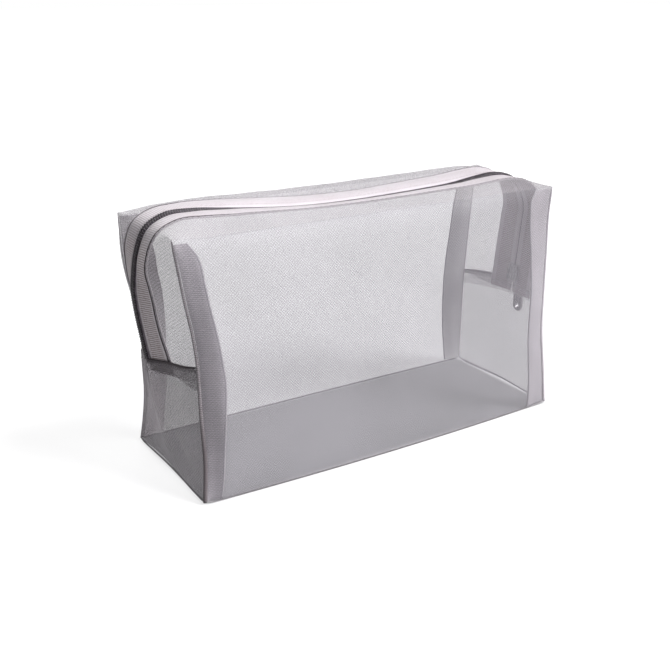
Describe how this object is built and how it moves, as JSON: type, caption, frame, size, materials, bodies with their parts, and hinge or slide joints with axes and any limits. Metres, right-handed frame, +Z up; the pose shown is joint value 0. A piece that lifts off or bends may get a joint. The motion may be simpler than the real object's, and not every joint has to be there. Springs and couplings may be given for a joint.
{
  "type": "mesh laundry bag",
  "caption": "Boxy see-through mesh bag with a zip that runs over its top and down its ends, a slider with a hanging pull, bound inner seams and a mouth that opens.",
  "frame": {"origin": "middle of the flat base, on the surface the bag stands on", "axes": "+X along the length towards the end that holds the slider, +Y towards the back panel, +Z up; the zip lies in the plane y = 0"},
  "size_m": [0.257, 0.083, 0.1387],
  "materials": {
    "mesh": "sheer grey nylon diamond net, slight sheen",
    "tape": "warm light grey woven zip tape with fine ribs",
    "coil": "dark grey nylon coil",
    "binding": "grey woven binding tape",
    "slider_metal": "satin nickel"
  },
  "bodies": {
    "pouch": {"base_panel": "mesh", "panel_front": "mesh", "panel_back": "mesh", "end_panel_right": "mesh", "end_panel_left": "mesh", "corner_strip_right_back": "mesh", "corner_strip_left_back": "mesh", "corner_strip_right_front": "mesh", "corner_strip_left_front": "mesh", "corner_tape_right_back": "tape", "corner_tape_left_back": "tape", "corner_tape_right_front": "tape", "corner_tape_left_front": "tape", "corner_coil_right_back": "coil", "corner_coil_left_back": "coil", "corner_coil_right_front": "coil", "corner_coil_left_front": "coil", "corner_binding_right_back": "binding", "corner_binding_left_back": "binding", "corner_binding_right_front": "binding", "corner_binding_left_front": "binding", "end_binding_right": "binding", "end_binding_left": "binding"},
    "front_lip": {"top_strip_front": "mesh", "top_tape_front": "tape", "top_coil_front": "coil"},
    "back_lip": {"top_strip_back": "mesh", "top_tape_back": "tape", "top_coil_back": "coil"},
    "slider": {"slider_body": "slider_metal", "slider_bail": "slider_metal"},
    "pull": {"pull_tab": "slider_metal"}
  },
  "joints": [
    {"name": "front_lip_fold", "type": "hinge", "parent": "pouch", "child": "front_lip", "pos_m": [0, -0.0325, 0.1325], "axis": [1, 0, 0], "range_deg": [0, 70]},
    {"name": "back_lip_fold", "type": "hinge", "parent": "pouch", "child": "back_lip", "pos_m": [0, 0.0325, 0.1325], "axis": [-1, 0, 0], "range_deg": [0, 70]},
    {"name": "slider_run", "type": "slide", "parent": "pouch", "child": "slider", "axis": [0.0958, 0, 0.9954], "range_m": [0, 0.035]},
    {"name": "pull_swing", "type": "hinge", "parent": "slider", "child": "pull", "pos_m": [0.12649, 0, 0.07095], "axis": [0, -1, 0], "range_deg": [-5, 165]}
  ]
}
